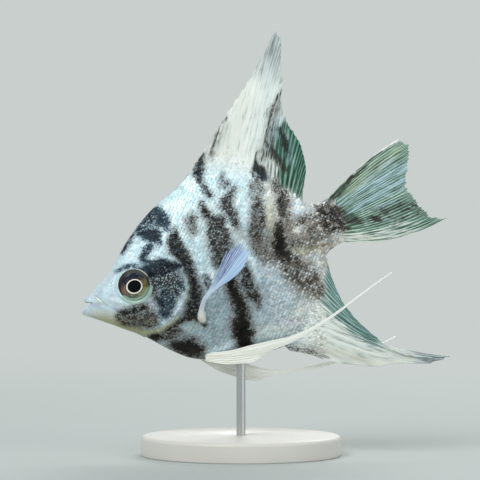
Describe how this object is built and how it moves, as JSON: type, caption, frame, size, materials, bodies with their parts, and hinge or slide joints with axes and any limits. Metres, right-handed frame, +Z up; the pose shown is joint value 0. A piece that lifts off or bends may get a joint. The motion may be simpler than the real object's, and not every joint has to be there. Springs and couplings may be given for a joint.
{
  "type": "freshwater angelfish display model",
  "caption": "Life-size young angelfish with tall dorsal and anal fins and trailing pelvic rays, held nose-down over a round base on one rod.",
  "frame": {"origin": "centre of the stand base's flat underside", "axes": "+Z up, the fish faces -X with its left side towards -Y, nose below tail"},
  "size_m": [0.0734, 0.04, 0.085],
  "materials": {
    "skin": "wet silvery scales with black marbling",
    "fin": "smoky translucent membrane between pale rays",
    "pale_fin": "cream fin rays",
    "eye": "clear wet gloss over a dark iris",
    "stand_base": "satin cast acrylic",
    "stand_rod": "brushed"
  },
  "bodies": {
    "root": {"head": "skin", "upper_jaw": "skin", "lower_jaw": "skin", "gill_cover_left": "skin", "gill_cover_right": "skin", "trunk": "skin", "tail_stalk": "skin", "eye_left": "eye", "eye_right": "eye", "dorsal_fin": "fin", "anal_fin": "fin", "tail_fin": "fin", "pectoral_fin_left": "fin", "pectoral_fin_right": "fin", "pelvic_fin_left": "pale_fin", "pelvic_fin_right": "pale_fin", "stand_base": "stand_base", "stand_rod": "stand_rod"}
  },
  "joints": []
}
